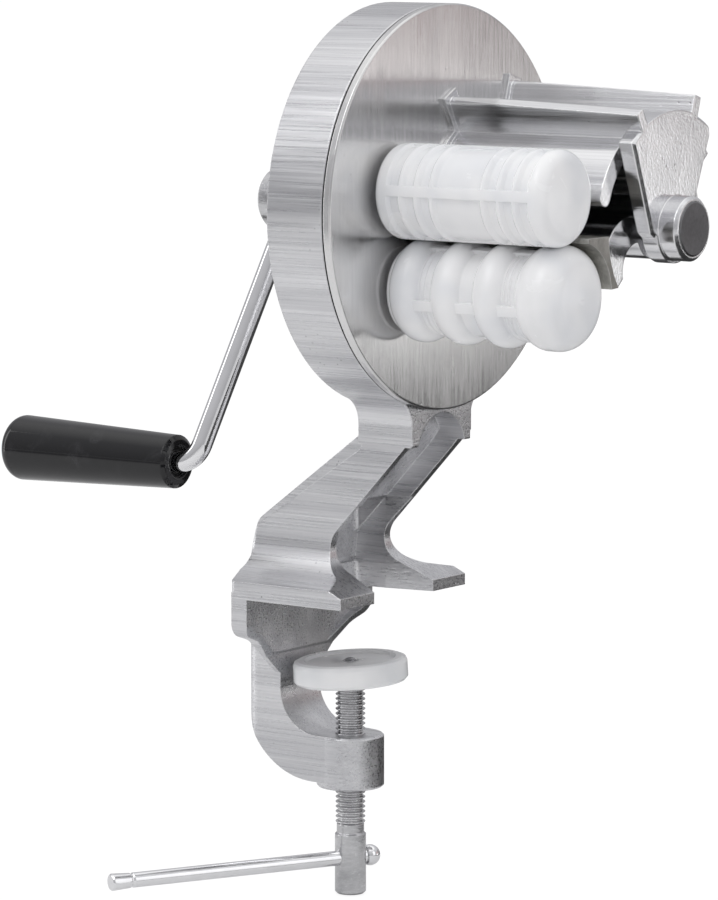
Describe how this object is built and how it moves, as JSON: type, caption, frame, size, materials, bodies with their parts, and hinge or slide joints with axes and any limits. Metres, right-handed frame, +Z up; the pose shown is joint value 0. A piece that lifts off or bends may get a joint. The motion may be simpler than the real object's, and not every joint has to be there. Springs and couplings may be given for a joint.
{
  "type": "hand-cranked pasta roller and former",
  "caption": "Clamp-on hand-cranked kitchen roller that pinches a dough strip between grooved rollers and curls it under a hooded rotor.",
  "frame": {"origin": "on the flat underside of the foot, on the centre line, just in front of the skirt that meets the table edge", "axes": "+Z up, +X along the roller shafts from the drum towards their free ends, +Y to the side of the forming rotor"},
  "size_m": [0.2297, 0.1389, 0.2846],
  "materials": {
    "cast_aluminium": "belt-brushed casting",
    "machined_aluminium": "fine machined face",
    "polished_aluminium": "polished casting",
    "dark_steel": "dark ground steel",
    "steel": "bright steel",
    "screw_steel": "bright zinc-plated thread",
    "bronze": "sintered bronze",
    "chrome": "bright chrome plate",
    "black_plastic": "glossy black",
    "white_plastic": "milky white, slightly translucent",
    "pad_plastic": "milky white"
  },
  "bodies": {
    "frame": {"frame_casting": "cast_aluminium", "front_plate": "machined_aluminium", "forming_hood": "polished_aluminium", "forming_anvil": "polished_aluminium", "boss_plug": "dark_steel", "cover_screws": "steel", "hood_screws": "steel", "anvil_screw": "steel", "upper_roller_bush": "bronze", "lower_roller_bush": "bronze", "rotor_bush": "bronze", "crank_front_bush": "bronze", "crank_rear_bush": "bronze"},
    "crank": {"crank_shaft": "steel", "crank_hub": "steel", "crank_set_screw": "dark_steel", "crank_arm": "chrome", "drive_gear": "steel", "grip_retainer": "steel"},
    "grip": {"grip": "black_plastic"},
    "upper_roller": {"upper_roller": "white_plastic", "upper_roller_shaft": "steel", "upper_roller_gear": "steel"},
    "lower_roller": {"lower_roller": "white_plastic", "lower_roller_shaft": "steel", "lower_roller_gear": "steel"},
    "rotor": {"forming_rotor": "polished_aluminium", "rotor_shaft": "steel", "rotor_pinion": "steel"},
    "swivel": {"swivel_stud": "steel"},
    "pad": {"clamp_pad": "pad_plastic"},
    "screw": {"clamp_screw": "screw_steel"},
    "bar": {"tommy_bar": "chrome", "bar_knob": "chrome"}
  },
  "joints": [
    {"name": "crank_turn", "type": "hinge", "parent": "frame", "child": "crank", "pos_m": [-0.008, 0, 0.124], "axis": [1, 0, 0], "continuous": true},
    {"name": "grip_spin", "type": "hinge", "parent": "crank", "child": "grip", "pos_m": [-0.048, -0.02704, 0.04078], "axis": [1, 0, 0], "continuous": true},
    {"name": "upper_roller_spin", "type": "hinge", "parent": "frame", "child": "upper_roller", "pos_m": [0.052, -0.02871, 0.1308], "axis": [1, 0, 0], "continuous": true},
    {"name": "lower_roller_spin", "type": "hinge", "parent": "frame", "child": "lower_roller", "pos_m": [0.052, -0.02271, 0.10039], "axis": [1, 0, 0], "continuous": true},
    {"name": "rotor_spin", "type": "hinge", "parent": "frame", "child": "rotor", "pos_m": [0.052, 0.02049, 0.1194], "axis": [1, 0, 0], "continuous": true},
    {"name": "clamp_travel", "type": "slide", "parent": "frame", "child": "swivel", "axis": [0, 0, 1], "range_m": [-0.006, 0.0142]},
    {"name": "clamp_screw_spin", "type": "hinge", "parent": "swivel", "child": "screw", "pos_m": [0.0136, 0, -0.06], "axis": [0, 0, 1], "range_deg": [-1400, 3250]},
    {"name": "pad_tilt", "type": "hinge", "parent": "swivel", "child": "pad", "pos_m": [0.0136, 0, -0.0246], "axis": [0.5878, -0.809, 0], "range_deg": [-5, 2.5]},
    {"name": "bar_slide", "type": "slide", "parent": "screw", "child": "bar", "axis": [-0.454, -0.891, 0], "range_m": [-0.069, 0]}
  ],
  "couplings": [
    {"joint": "upper_roller_spin", "follows": "crank_turn", "ratio": -0.90323},
    {"joint": "lower_roller_spin", "follows": "crank_turn", "ratio": 0.90323},
    {"joint": "rotor_spin", "follows": "crank_turn", "ratio": -2},
    {"joint": "clamp_screw_spin", "follows": "clamp_travel", "rad_per_m": 3957.9}
  ]
}
